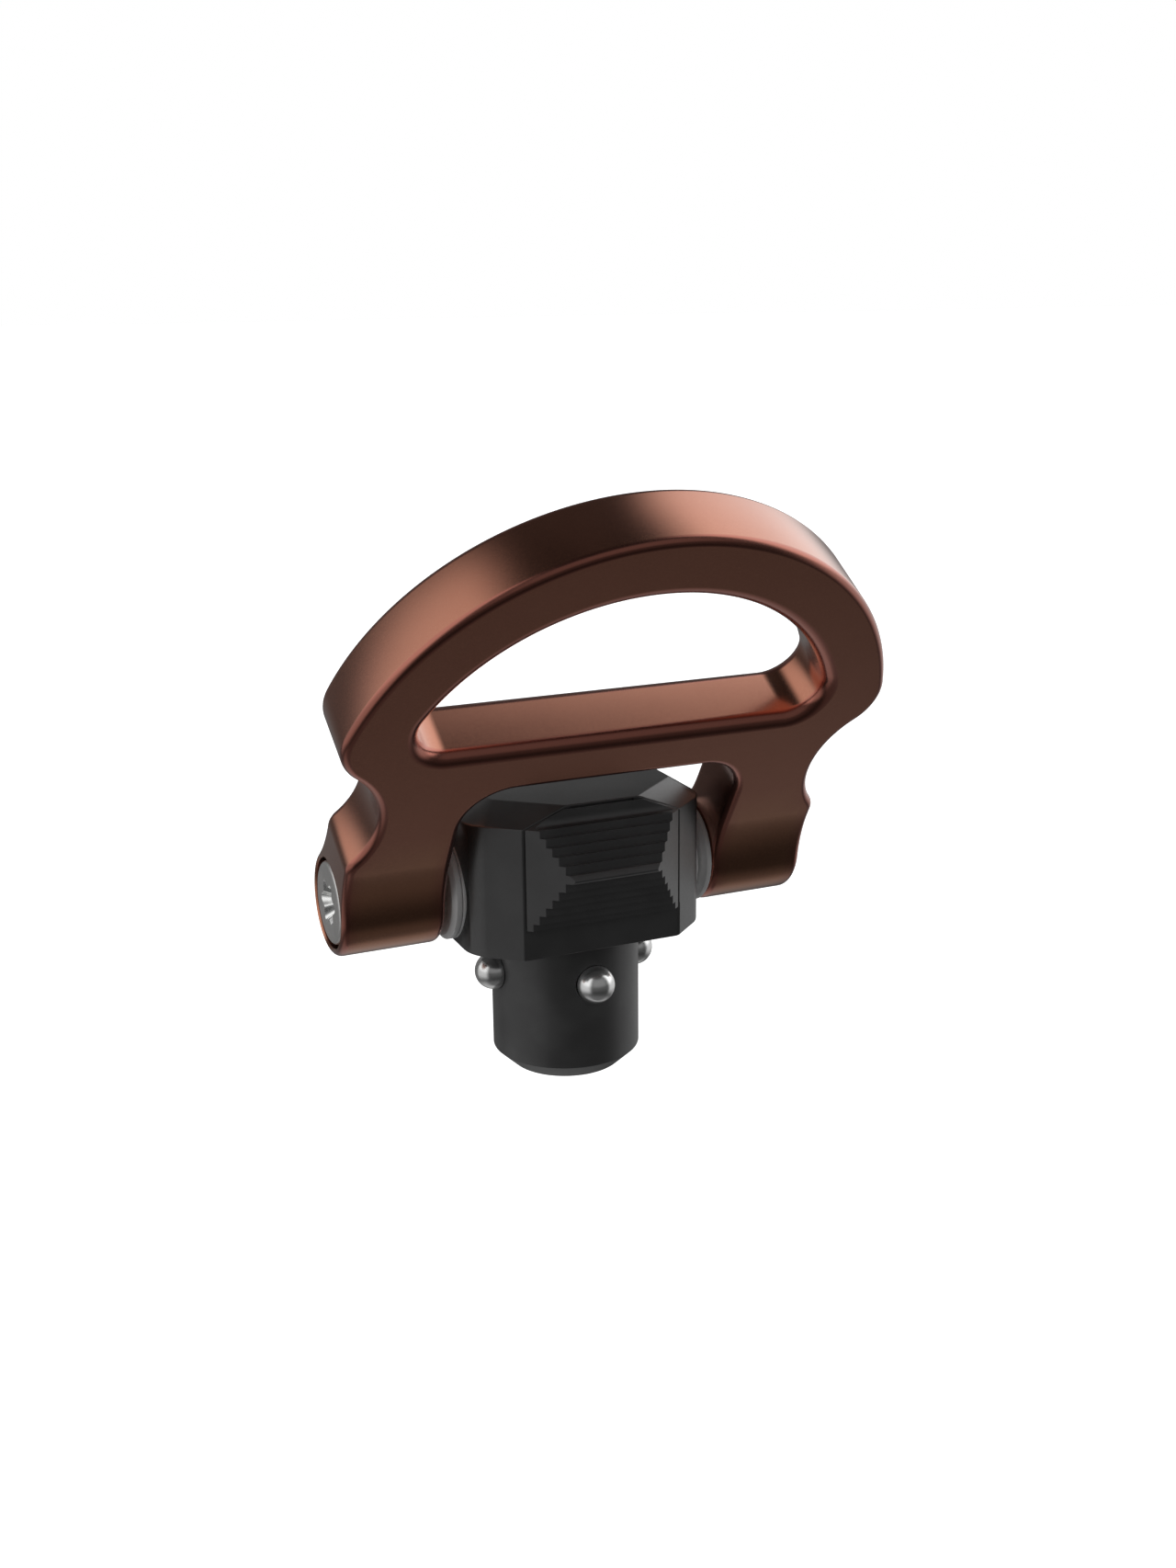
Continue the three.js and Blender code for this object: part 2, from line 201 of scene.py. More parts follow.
# ------------------------------------------------------------------ materials
class Graph:
    def __init__(self, tree):
        self.t = tree
        self.n, self.l = tree.nodes, tree.links

    def put(self, socket, value):
        if isinstance(value, bpy.types.NodeSocket):
            self.l.new(value, socket)
        else:
            socket.default_value = value

    def math(self, op, a, b=None, clamp=False):
        n = self.n.new("ShaderNodeMath")
        n.operation = op
        n.use_clamp = clamp
        self.put(n.inputs[0], a)
        if b is not None:
            self.put(n.inputs[1], b)
        return n.outputs[0]

    def ramp(self, value, x0, x1, y0=0.0, y1=1.0, smooth=True):
        n = self.n.new("ShaderNodeMapRange")
        n.interpolation_type = "SMOOTHSTEP" if smooth else "LINEAR"
        for k, v in zip(("Value", "From Min", "From Max", "To Min", "To Max"), (value, x0, x1, y0, y1)):
            self.put(n.inputs[k], v)
        return n.outputs["Result"]

    def mix(self, fac, a, b):
        n = self.n.new("ShaderNodeMix")
        n.data_type = "RGBA"
        self.put(n.inputs[0], fac)
        self.put(n.inputs[6], a)
        self.put(n.inputs[7], b)
        return n.outputs[2]

    def noise(self, scale, detail=3.0, rough=0.5, stretch=None):
        co = self.n.new("ShaderNodeTexCoord").outputs["Object"]
        if stretch:
            mp = self.n.new("ShaderNodeMapping")
            self.l.new(co, mp.inputs["Vector"])
            mp.inputs["Scale"].default_value = stretch
            co = mp.outputs["Vector"]
        n = self.n.new("ShaderNodeTexNoise")
        self.l.new(co, n.inputs["Vector"])
        n.inputs["Scale"].default_value = scale
        n.inputs["Detail"].default_value = detail
        n.inputs["Roughness"].default_value = rough
        return n.outputs["Fac"]

    def attr(self, name):
        n = self.n.new("ShaderNodeAttribute")
        n.attribute_name = name
        return n.outputs["Fac"]

    def bump(self, height, strength, distance):
        n = self.n.new("ShaderNodeBump")
        n.inputs["Strength"].default_value = strength
        n.inputs["Distance"].default_value = distance
        self.l.new(height, n.inputs["Height"])
        return n.outputs["Normal"]


def material(name):
    m = bpy.data.materials.new(name)
    m.use_nodes = True
    return m, Graph(m.node_tree), m.node_tree.nodes["Principled BSDF"]


def copper_material():
    m, g, b = material("copper_anodised")
    grain = g.noise(9000.0, 2.0, 0.6)
    cloud = g.noise(420.0, 3.0, 0.55)
    # painted shade: the rounded edges get a darker, redder tint standing in for how the coat darkens and reddens at
    # grazing angles
    painted_edge_shade = g.attr("painted_edge_shade")
    base = g.mix(g.ramp(cloud, 0.3, 0.7), (0.465, 0.186, 0.090, 1), (0.490, 0.200, 0.099, 1))
    base = g.mix(g.ramp(grain, 0.40, 0.75), base, (0.53, 0.225, 0.116, 1))
    base = g.mix(g.math("MULTIPLY", painted_edge_shade, 0.75), base, (0.37, 0.088, 0.064, 1))
    g.put(b.inputs["Base Color"], base)
    b.inputs["Metallic"].default_value = 1.0
    rough = g.ramp(grain, 0.2, 0.8, 0.19, 0.25)
    g.put(b.inputs["Roughness"], rough)
    b.inputs["Coat Weight"].default_value = 1.0
    b.inputs["Coat Roughness"].default_value = 0.25
    b.inputs["Coat IOR"].default_value = 1.58
    g.put(b.inputs["Normal"], g.bump(grain, 0.05, 0.00002))
    return m


def black_material(name, base, rough, turned=False, ior=1.62):
    m, g, b = material(name)
    grain = g.noise(7000.0, 2.0, 0.6)
    cloud = g.noise(350.0, 2.0, 0.5)
    g.put(b.inputs["Base Color"], g.mix(g.ramp(cloud, 0.3, 0.7), tuple(c * 0.85 for c in base) + (1,), tuple(c * 1.15 for c in base) + (1,)))
    b.inputs["Metallic"].default_value = 0.0
    b.inputs["IOR"].default_value = ior
    g.put(b.inputs["Roughness"], g.ramp(grain, 0.2, 0.8, rough - 0.03, rough + 0.04))
    if turned:
        fine = g.noise(5200.0, 2.0, 0.6, (0.02, 0.02, 1.0))
        g.put(b.inputs["Normal"], g.bump(fine, 0.08, 0.00002))
    else:
        g.put(b.inputs["Normal"], g.bump(grain, 0.08, 0.00002))
    return m


def steel_material(name, base, rough, spread=0.05, scratch=None, relief=0.06, metal=1.0):
    m, g, b = material(name)
    fine = g.noise(5000.0, 2.0, 0.6, scratch)
    cloud = g.noise(500.0, 2.0, 0.5)
    g.put(b.inputs["Base Color"], g.mix(g.ramp(cloud, 0.3, 0.7), tuple(c * 0.94 for c in base) + (1,), tuple(min(1, c * 1.05) for c in base) + (1,)))
    b.inputs["Metallic"].default_value = metal
    g.put(b.inputs["Roughness"], g.ramp(fine, 0.25, 0.75, rough - spread, rough + spread))
    if relief:
        g.put(b.inputs["Normal"], g.bump(fine, relief, 0.00002))
    return m


COPPER = copper_material()
BLACK = black_material("black_oxide", (0.056, 0.056, 0.057), 0.38, False, 1.9)
BLACK_STUD = black_material("black_oxide_turned", (0.085, 0.085, 0.086), 0.38, True)
STEEL = steel_material("turned_steel", (0.84, 0.83, 0.815), 0.42)
BALL = steel_material("ball_steel", (0.97, 0.97, 0.96), 0.235, 0.01, None, 0.0, 0.94)
# painted light: the washers' steel is given a near-white, non-metal colour so they read brighter than the other steel
WASHER_PAINTED_LIGHT = steel_material("ground_steel_painted_light", (0.985, 0.98, 0.97), 0.30, 0.03, None, 0.03, 0.0)
# painted light and shade in the star recess: its walls get a brighter steel than the screw head, its floor a darker one
SOCKET_PAINTED_LIGHT = steel_material("socket_wall_painted_light", (0.95, 0.95, 0.94), 0.26, 0.03, None, 0.0, 0.9)
SOCKET_FLOOR_PAINTED_SHADE = steel_material("socket_floor_painted_shade", (0.42, 0.42, 0.42), 0.45)
SPRING = steel_material("spring_wire", (0.42, 0.43, 0.45), 0.32)
BRONZE = steel_material("bearing_bronze", (0.52, 0.34, 0.16), 0.36)


def finish_piece(ob, mat, body, slot, *nodes):
    ob.data.materials.clear()
    ob.data.materials.append(mat)
    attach(ob, body)
    if nodes:
        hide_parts(*nodes)
    return ob


# ------------------------------------------------------------------ loop
RHO = (BLEND_V ** 2 - BOSS_R ** 2 + PLATE ** 2) / (2 * (BOSS_R - PLATE))
QC = PLATE + RHO
BETA = math.atan2(BLEND_V, QC)
S_TAN = BLEND_V - RHO * BETA
S_LOW = S_TAN - BOSS_R * (BETA + math.pi / 2)


def section(s):
    """point (v, h) and outward normal on the leg's side profile at path length s."""
    if s >= BLEND_V:
        return s, PLATE, 0.0, 1.0
    if s >= S_TAN:
        a = (BLEND_V - s) / RHO
        nv, nh = math.sin(a), math.cos(a)
        return BLEND_V - RHO * nv, QC - RHO * nh, nv, nh
    a = BETA - (S_TAN - s) / BOSS_R
    return BOSS_R * math.sin(a), BOSS_R * math.cos(a), math.sin(a), math.cos(a)


def flatten_normals(me, axis):
    """corners that touch a flat front or back face take that face's normal, so the flats stay flat."""
    touch = {}
    for p in me.polygons:
        d = p.normal.dot(axis)
        if abs(d) > 0.99999:
            for v in p.vertices:
                touch[v] = 1.0 if d > 0 else -1.0
    normals = [Vector(c.vector) for c in me.corner_normals]
    for i, l in enumerate(me.loops):
        side = touch.get(l.vertex_index)
        if side and normals[i].dot(axis) * side > 0.75:
            normals[i] = axis * side
    me.normals_split_custom_set([tuple(n) for n in normals])


def build_loop():
    rows = [BLEND_V - (BLEND_V - S_TAN) * i / 12 for i in range(12)] + [S_TAN - (S_TAN - S_LOW) * i / 30 for i in range(31)]
    rows = rows[::-1]                       # low to high
    # right half of the outside contour, with inward normals
    rc = 1.5
    cv = SC_V - math.sqrt((SC_R + rc) ** 2 - (SC_X - HALF_W + rc) ** 2)
    cx = HALF_W - rc
    out = [(HALF_W, s, -1.0, 0.0) for s in rows]
    a1 = math.atan2(SC_V - cv, SC_X - cx)
    for i in range(1, 9):
        a = a1 * i / 8
        out.append((cx + rc * math.cos(a), cv + rc * math.sin(a), -math.cos(a), -math.sin(a)))
    if out[len(rows)][1] < out[len(rows) - 1][1]:
        raise RuntimeError("contour order")
    # start of the corner arc
    out.insert(len(rows), (HALF_W, cv, -1.0, 0.0))
    d1, d2 = OUT_R - SHOULDER_R, SC_R + SHOULDER_R
    dx, dy = SC_X, SC_V - OUT_V
    L = math.hypot(dx, dy)
    a = (d1 * d1 - d2 * d2 + L * L) / (2 * L)
    h = math.sqrt(d1 * d1 - a * a)
    sx, sv = (a * dx - h * dy) / L, OUT_V + (a * dy + h * dx) / L
    b0 = math.atan2(cv - SC_V, cx - SC_X) % (2 * math.pi)
    b1 = math.atan2(sv - SC_V, sx - SC_X) % (2 * math.pi)
    for i in range(1, 41):
        b = b0 + (b1 - b0) * i / 40
        out.append((SC_X + SC_R * math.cos(b), SC_V + SC_R * math.sin(b), math.cos(b), math.sin(b)))
    lo, hi = math.atan2(SC_V - sv, SC_X - sx), math.atan2(sv - OUT_V, sx)
    for i in range(1, 25):
        b = lo + (hi - lo) * i / 24
        out.append((sx + SHOULDER_R * math.cos(b), sv + SHOULDER_R * math.sin(b), -math.cos(b), -math.sin(b)))
    for i in range(1, 97):
        b = hi + (math.pi / 2 - hi) * i / 96
        out.append((OUT_R * math.cos(b), OUT_V + OUT_R * math.sin(b), -math.cos(b), -math.sin(b)))
    ring_a = out + [(-x, v, -nx, nv) for x, v, nx, nv in out[-2::-1]]
    # fork gap, from the lower left corner up and over to the right
    k, c = FORK_TOP - FORK_R, FORK - FORK_R
    left = [(-FORK, s, -1.0, 0.0) for s in rows]
    for i in range(0, 21):
        b = math.pi - math.pi / 2 * i / 20
        left.append((-c + FORK_R * math.cos(b), k + FORK_R * math.sin(b), math.cos(b), math.sin(b)))
    ring_b = left + [(-x, v, -nx, nv) for x, v, nx, nv in left[::-1]]
    # slot, clockwise
    hh = SLOT_V + SLOT_CORNER - SLOT_C
    xs = math.sqrt((SLOT_R - SLOT_CORNER) ** 2 - hh * hh)
    a0 = math.atan2(hh, xs)
    half = []
    for i in range(0, 73):
        b = math.pi / 2 - (math.pi / 2 - a0) * i / 72
        half.append((SLOT_R * math.cos(b), SLOT_C + SLOT_R * math.sin(b), math.cos(b), math.sin(b)))
    for i in range(1, 33):
        b = a0 - (a0 + math.pi / 2) * i / 32
        half.append((xs + SLOT_CORNER * math.cos(b), SLOT_V + SLOT_CORNER + SLOT_CORNER * math.sin(b), math.cos(b), math.sin(b)))
    ring_c = half + [(-x, v, -nx, nv) for x, v, nx, nv in half[:0:-1]]

    K = 8
    verts, painted_edge_shade = [], []

    def add(x, s, drop, side, e=0.0):
        v, q, nv, nh = section(s)
        v -= nv * drop
        q -= nh * drop
        q = q if side else -q
        verts.append((x, -v * math.sin(TILT) + q * math.cos(TILT), ZP + v * math.cos(TILT) + q * math.sin(TILT)))
        painted_edge_shade.append(e)
        return len(verts) - 1

    faces = []
    walls = []
    for side in (0, 1):
        inner = []
        for ring, rad, closed in ((ring_a, EDGE_R, False), (ring_b, EDGE_R, False), (ring_c, SLOT_EDGE_R, True)):
            strips = []
            for kk in range(K + 1):
                f = math.pi / 2 * kk / K
                d, drop = rad * (1 - math.cos(f)), rad * (1 - math.sin(f))
                # weight of the painted edge shade: full inside each rounding, half at its two ends, none on the flats
                e = 1.0 if 0 < kk < K else 0.5
                strips.append([add(x + nx * d, v + nv * d, drop, side, e) for x, v, nx, nv in ring])
            n = len(ring)
            for kk in range(K):
                for i in range(n if closed else n - 1):
                    j = (i + 1) % n
                    faces.append([strips[kk][i], strips[kk][j], strips[kk + 1][j], strips[kk + 1][i]])
            walls.append((side, strips[0], closed))
            inner.append((strips[K], [(x + nx * rad, v + nv * rad) for x, v, nx, nv in ring], closed))
        # flat face between the three rings
        pts, ids, cons = [], [], []
        for strip, p2, closed in inner:
            base = len(pts)
            pts += p2
            ids += strip
            n = len(p2)
            cons += [(base + i, base + (i + 1) % n) for i in range(n if closed else n - 1)]
        na, nb = len(ring_a), len(ring_b)
        # rows across each leg
        cols = 7
        for sign in (1, -1):
            for k_row, s in enumerate(rows):
                if sign > 0:
                    ia, ib = k_row, na + nb - 1 - k_row
                else:
                    ia, ib = na - 1 - k_row, na + k_row
                xa, xb = pts[ia][0], pts[ib][0]
                chain = [ia]
                for c_i in range(1, cols):
                    x = xa + (xb - xa) * c_i / cols
                    pts.append((x, s))
                    ids.append(add(x, s, 0.0, side))
                    chain.append(len(pts) - 1)
                chain.append(ib)
                cons += list(zip(chain[:-1], chain[1:]))
        res = delaunay_2d_cdt([Vector(p) for p in pts], cons, [], 0, 1e-7)
        rv, rf, orig = res[0], res[2], res[3]
        poly_a = [pts[i] for i in range(na)] + [pts[i] for i in range(na, na + nb)]
        poly_c = [pts[i] for i in range(na + nb, na + nb + len(ring_c))]

        def inside(poly, x, y):
            hit = False
            for i in range(len(poly)):
                (x0, y0), (x1, y1) = poly[i - 1], poly[i]
                if (y0 > y) != (y1 > y) and x < x0 + (y - y0) * (x1 - x0) / (y1 - y0):
                    hit = not hit
            return hit

        for f in rf:
            mx = sum(rv[i][0] for i in f) / len(f)
            my = sum(rv[i][1] for i in f) / len(f)
            if inside(poly_a, mx, my) and not inside(poly_c, mx, my):
                faces.append([ids[orig[i][0]] for i in f])
    for i in range(3):
        (_, f, closed), (_, b, _) = walls[i], walls[i + 3]
        n = len(f)
        for k in range(n if closed else n - 1):
            j = (k + 1) % n
            faces.append([f[k], f[j], b[j], b[k]])
    me = bpy.data.meshes.new("ring_loop")
    me.from_pydata([tuple(c * MM for c in v) for v in verts], [], faces)
    at = me.attributes.new("painted_edge_shade", "FLOAT", "POINT")
    at.data.foreach_set("value", painted_edge_shade)
    ob = bpy.data.objects.new("ring_loop", me)
    bpy.context.scene.collection.objects.link(ob)
    bm = bmesh.new()
    bm.from_mesh(me)
    bmesh.ops.remove_doubles(bm, verts=bm.verts, dist=3e-7)
    bmesh.ops.dissolve_degenerate(bm, edges=bm.edges, dist=1e-8)
    bmesh.ops.recalc_face_normals(bm, faces=bm.faces)
    loose = [e for e in bm.edges if len(e.link_faces) != 2]
    print("loop mesh open edges", len(loose))
    bm.to_mesh(me)
    bm.free()
    cuts = []
    for s in (1, -1):
        cuts.append(lathe("cut_a", [(0, 8), (2.0, 8), (2.0, 14.0), (0, 14.0)], side_x(s), 96))
        cuts.append(lathe("cut_b", [(0, HALF_W - 2.05), (2.8, HALF_W - 2.05), (2.8, HALF_W - 0.12), (3.1, HALF_W + 0.18), (3.1, 17), (0, 17)], side_x(s), 96))
    boolean(ob, cuts)
    shade(ob, 32)
    flatten_normals(ob.data, Vector((0, math.cos(TILT), math.sin(TILT))))
    return ob


loop = finish_piece(build_loop(), COPPER, "loop_body", "copper", "loop")


# ------------------------------------------------------------------ block
def plan(inset, n=12):
    xf = HALF_FRONT - inset / math.sin(BEVEL)
    t = END_ROUND * math.tan((math.pi / 2 - BEVEL) / 2)
    cy = DEEP - (HALF_END - HALF_FRONT) * math.tan(BEVEL) - t
    cx = HALF_END - END_ROUND
    q = arc(cx, -cy, END_ROUND - inset, -(math.pi / 2 - BEVEL), 0, n)
    p = [(xf, -DEEP)] + q
    right = p + [(x, -y) for x, y in p[::-1]]
    return right + [(-x, -y) for x, y in right]


def bevel_sharp(ob, deg, width, seg=2):
    bm = bmesh.new()
    bm.from_mesh(ob.data)
    edges = [e for e in bm.edges if len(e.link_faces) == 2 and e.calc_face_angle(0) > math.radians(deg)]
    bmesh.ops.bevel(bm, geom=edges, offset=width * MM, offset_type="OFFSET", segments=seg, profile=0.5, affect="EDGES", clamp_overlap=True)
    bm.to_mesh(ob.data)
    bm.free()


def build_block():
    rings = [(0.0, plan(0)), (Z1, plan(0)), (Z2, plan(SHOULDER_IN))]
    n = len(rings[0][1])
    verts = [(x, y, z) for z, r in rings for x, y in r]
    faces = [list(range(n))[::-1], list(range(2 * n, 3 * n))]
    for k in range(2):
        for i in range(n):
            j = (i + 1) % n
            faces.append([k * n + i, k * n + j, (k + 1) * n + j, (k + 1) * n + i])
    ob = new_object("block_shell", verts, faces)
    bevel_sharp(ob, 18, 0.085, 3)
    cuts = [
        lathe("c1", [(0, -1), (4.79, -1), (4.79, 5.6), (0, 5.6)], seg=128),
        lathe("c2", [(0, 5), (1.7, 5), (1.7, 8.8), (0, 8.8)], seg=64),
        block_box("c3", (-0.63, -5.8, 5.4), (0.63, 5.8, 8.72)),
        block_box("c4", (-1.5, -7.0, 1.93), (1.5, -5.35, 9.2)),
        block_box("c5", (-1.5, 5.35, 1.93), (1.5, 7.0, 9.2)),
        block_box("c8", (5.03, -6.3, -0.5), (5.3, -6.04, 2.2)),
        block_box("c10", (5.05, -6.3, 2.1), (5.3, -6.09, 8.22)),
        block_box("c11", (-5.3, 6.09, 2.1), (-5.05, 6.3, 8.22)),
        block_box("c12", (-2.1, -6.3, Z2 - 0.25), (2.1, -5.95, Z2 - 0.10)),
        block_box("c13", (-2.1, 5.95, Z2 - 0.25), (2.1, 6.3, Z2 - 0.10)),
        block_box("c9", (-5.3, 6.04, -0.5), (-5.03, 6.3, 2.2)),
    ]
    for s in (1, -1):
        cuts.append(lathe("c6", [(0, 7.62), (3.55, 7.62), (3.55, 12), (0, 12)], side_x(s), 128))
        cuts.append(lathe("c7", [(0, 4.9), (1.52, 4.9), (1.52, 9), (0, 9)], side_x(s), 64))
    boolean(ob, cuts)
    shade(ob, 28)
    ob.modifiers.new("normals", "WEIGHTED_NORMAL").keep_sharp = True
    return ob


finish_piece(build_block(), BLACK, "block", "black", "swivel_block")


# ------------------------------------------------------------------ finger pads
def build_pad(name, turn):
    P = SEAM_Y
    prof = [
        (P, 1.98), (-6.52, 1.98), (-6.52, 2.43), (-6.78, 2.43), (-6.78, 2.99), (-7.05, 2.99), (-7.05, 3.54),
        (-7.32, 3.54), (-7.32, 4.08), (-7.59, 4.08), (-7.59, 4.63), (-7.87, 4.63), (-7.87, 5.16),
        (-8.14, 5.16), (-8.25, 5.28), (-8.27, 5.36), (-8.25, 5.43), (-8.06, 5.68), (-8.02, 5.7),
        (-7.88, 5.7), (-7.88, 6.24), (-7.61, 6.24), (-7.61, 6.77), (-7.35, 6.77), (-7.35, 7.3),
        (-7.1, 7.3), (-7.1, 7.84), (-6.85, 7.84), (-6.85, 8.33),
    ]
    prof += [(-6.6 + 0.26 * math.sin(a), 8.85 - 0.5 * math.cos(a)) for a in [math.pi / 2 * i / 8 for i in range(9)]]
    prof += [(-6.335, Z2 - 0.19), (P - 0.045, Z2 - 0.19), (P - 0.045, 8.9), (P, 8.8)]
    m = basis((0, 1, 0), (0, 0, 1), (1, 0, 0), (-6.5, 0, 0))
    ob = prism(name, prof, 13, m)
    k = 1 / math.tan(BEVEL)
    yo = -8.6
    w, wi = HALF_FRONT - (-yo - DEEP) * k, HALF_FRONT - (-P - DEEP) * k + 0.0
    wedge = prism("wedge", [(-wi - 0.02 * k, P + 0.02), (-w, yo), (w, yo), (wi + 0.02 * k, P + 0.02)], 12, Matrix.Translation((0, 0, -1)))
    boolean(ob, [wedge], "INTERSECT")
    phi = math.atan2(Z2 - Z1, SHOULDER_IN)
    cuts = []
    for s in (1, -1):
        nb = Vector((s * math.sin(BEVEL), -math.cos(BEVEL), 0))
        nn = nb * math.sin(phi) + Vector((0, 0, math.cos(phi)))
        al = Vector((0, 0, 1)).cross(nb).normalized()
        third = nn.cross(al)
        at = Vector((s * HALF_FRONT, -DEEP, Z1)) + nn * 0.0
        mm = Matrix((al, third, nn)).transposed().to_4x4()
        mm.translation = at
        cuts.append(prism("half", [(-20, -20), (20, -20), (20, 20), (-20, 20)], 20, mm))
    boolean(ob, cuts)
    boolean(ob, [block_box("tongue", (-1.44, P - 0.05, 2.0), (1.44, -DEEP + 0.72, 7.3))], "UNION")
    boolean(ob, [lathe("pinhole", [(0, 5.0), (0.61, 5.0), (0.61, 7.2), (0, 7.2)], basis((1, 0, 0), (0, 0, 1), (0, -1, 0), (0, 0, 6.25)), 48)])
    if turn:
        ob.data.transform(Matrix.Rotation(math.pi, 4, "Z"))
    bv = ob.modifiers.new("edges", "BEVEL")
    bv.width = 0.028 * MM
    bv.segments = 2
    bv.limit_method = "ANGLE"
    bv.angle_limit = math.radians(28)
    bv.harden_normals = False
    bake(ob)
    shade(ob, 28)
    ob.modifiers.new("normals", "WEIGHTED_NORMAL").keep_sharp = True
    return ob


finish_piece(build_pad("pad_front", False), BLACK, "release", "black", "finger_pad_front")
finish_piece(build_pad("pad_rear", True), BLACK, "release", "black", "finger_pad_rear")

# ------------------------------------------------------------------ stud and balls
stud_prof = [(0, -9.45), (3.62, -9.45), (STUD_R, -8.38), (STUD_R, 1.25), (4.4, 1.25), (4.4, 1.75), (STUD_R, 1.75), (STUD_R, 5.4), (3.8, 5.4), (3.8, -6.0), (0, -6.0)]
stud = lathe("stud_turned", rounded(stud_prof, {1: 0.08, 2: 0.05, 7: 0.2, 9: 0.2}), seg=192)
cuts = []
for i in range(4):
    m = Matrix.Rotation(math.pi / 2 * i, 4, "Z") @ basis((0, 1, 0), (0, 0, 1), (1, 0, 0), (0, 0, BALL_Z))
    cuts.append(lathe("hole", [(0, 2.5), (1.197, 2.5), (1.197, 6), (0, 6)], m, 64))
boolean(stud, cuts)
shade(stud, 30)
stud.modifiers.new("normals", "WEIGHTED_NORMAL").keep_sharp = True
finish_piece(stud, BLACK_STUD, "stud", "black_stud", "stud_sleeve")
for i, w in enumerate(("right", "rear", "left", "front")):
    m = Matrix.Rotation(math.pi / 2 * i, 4, "Z") @ Matrix.Translation((BALL_AT, 0, BALL_Z))
    prof = [(BALL_R * math.cos(a), BALL_R * math.sin(a)) for a in [-math.pi / 2 + math.pi * k / 40 for k in range(41)]]
    prof[0], prof[-1] = (0, -BALL_R), (0, BALL_R)
    finish_piece(lathe("ball_" + w, prof, m, 64, 180), BALL, "ball_" + w, "ball_steel", "lock_ball_" + w)

# ------------------------------------------------------------------ hinge hardware
for s, w in ((-1, "left"), (1, "right")):
    m = side_x(s)
    prof = [(0, 5.5), (1.2, 5.5), (1.5, 5.8), (1.5, 13.6), (2.58, 13.6), (2.58, 15.45), (0, 15.45)]
    sc = lathe("screw_" + w, rounded(prof, {4: 0.1, 5: 0.28}, 6), m, 128)
    N = 144
    sv, sf = [], []
    for z, k in ((14.85, 0.62), (15.40, 0.98), (15.50, 1.04)):
        for i in range(N):
            a = 2 * math.pi * i / N
            r = (1.225 + 0.215 * math.cos(6 * a)) * k
            sv.append((r * math.cos(a), r * math.sin(a), z))
    sf = [list(range(N))[::-1], list(range(2 * N, 3 * N))]
    for k in range(2):
        sf += [[k * N + i, k * N + (i + 1) % N, (k + 1) * N + (i + 1) % N, (k + 1) * N + i] for i in range(N)]
    boolean(sc, [new_object("star", place(sv, m), sf)])
    shade(sc, 30)
    sc.modifiers.new("normals", "WEIGHTED_NORMAL").keep_sharp = True
    finish_piece(sc, STEEL, "block", "steel", "pivot_screw_" + w)
    sc.data.materials.append(SOCKET_PAINTED_LIGHT)
    sc.data.materials.append(SOCKET_FLOOR_PAINTED_SHADE)
    # recess faces: the floor gets the painted-shade steel, the walls the painted-light steel
    for f in sc.data.polygons:
        c = f.center / MM
        if math.hypot(c.y, c.z - ZP) < 1.52 and 14.2 < abs(c.x) < 15.44:
            f.material_index = 2 if abs(f.normal.x) > 0.95 else 1
    if s < 0:
        prof = [(1.58, 8.0), (3.3, 8.0), (3.3, 8.35), (3.0, 8.6), (1.58, 8.6)]
    else:
        prof = [(1.58, 8.33), (3.0, 8.33), (3.3, 8.58), (3.3, 8.93), (1.58, 8.93)]
    finish_piece(lathe("flat_washer_" + w, rounded(prof, {1: 0.05, 2: 0.04, 3: 0.05}, 4), m, 128), WASHER_PAINTED_LIGHT, "block", "steel", "washer_" + w)
    prof = [(1.6, 7.66), (3.3, 7.72), (3.3, 7.95), (1.6, 7.9)]
    finish_piece(lathe("cone_washer_" + w, rounded(prof, {1: 0.05, 2: 0.05}, 3), m, 128), WASHER_PAINTED_LIGHT, "block", "steel", "disc_spring_" + w)

# inner pieces keep their CAD shape
for node, mat in (("snap_ring", SPRING), ("cross_pin", STEEL), ("plunger", STEEL), ("pivot_bush_left", BRONZE), ("pivot_bush_right", BRONZE)):
    ob = NODES[node]
    ob.data.materials.clear()
    ob.data.materials.append(mat)
    shade(ob, 35)

# the return spring, between the plunger's flange and the block, is swept here as a fixed helix
coil_v, coil_f, STEPS, SIDES = [], [], 260, 12
for i in range(STEPS + 1):
    t = i / STEPS
    a = 2 * math.pi * 5.2 * t
    radial = Vector((math.cos(a), math.sin(a), 0))
    along = Vector((-2.65 * 2 * math.pi * 5.2 * math.sin(a), 2.65 * 2 * math.pi * 5.2 * math.cos(a), 5.56)).normalized()
    side = along.cross(radial)
    mid = radial * 2.65 + Vector((0, 0, -0.28 + 5.56 * t))
    coil_v += [tuple(mid + (radial * math.cos(b) + side * math.sin(b)) * 0.29) for b in [2 * math.pi * k / SIDES for k in range(SIDES)]]
for i in range(STEPS):
    for k in range(SIDES):
        j = (k + 1) % SIDES
        coil_f.append([i * SIDES + k, i * SIDES + j, (i + 1) * SIDES + j, (i + 1) * SIDES + k])
coil_f += [list(range(SIDES))[::-1], list(range(STEPS * SIDES, (STEPS + 1) * SIDES))]
coil = new_object("coil_spring", coil_v, coil_f, 40)
coil.data.materials.append(SPRING)
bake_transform(coil)
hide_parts("return_spring")

# ------------------------------------------------------------------ stage
sc = bpy.context.scene
me = bpy.data.meshes.new("floor")
R = 6.0
FLOOR_Z = -0.060
me.from_pydata([(-R, -R, FLOOR_Z), (R, -R, FLOOR_Z), (R, R, FLOOR_Z), (-R, R, FLOOR_Z)], [], [(0, 1, 2, 3)])
floor = bpy.data.objects.new("floor", me)
sc.collection.objects.link(floor)
fm, g, b = material("pale_floor")
b.inputs["Base Color"].default_value = (0.9, 0.9, 0.9, 1)
b.inputs["Roughness"].default_value = 0.9
b.inputs["Emission Color"].default_value = (1, 1, 1, 1)
b.inputs["Emission Strength"].default_value = 1.0
me.materials.append(fm)
floor.visible_glossy = False
floor.visible_diffuse = False
floor.visible_shadow = False

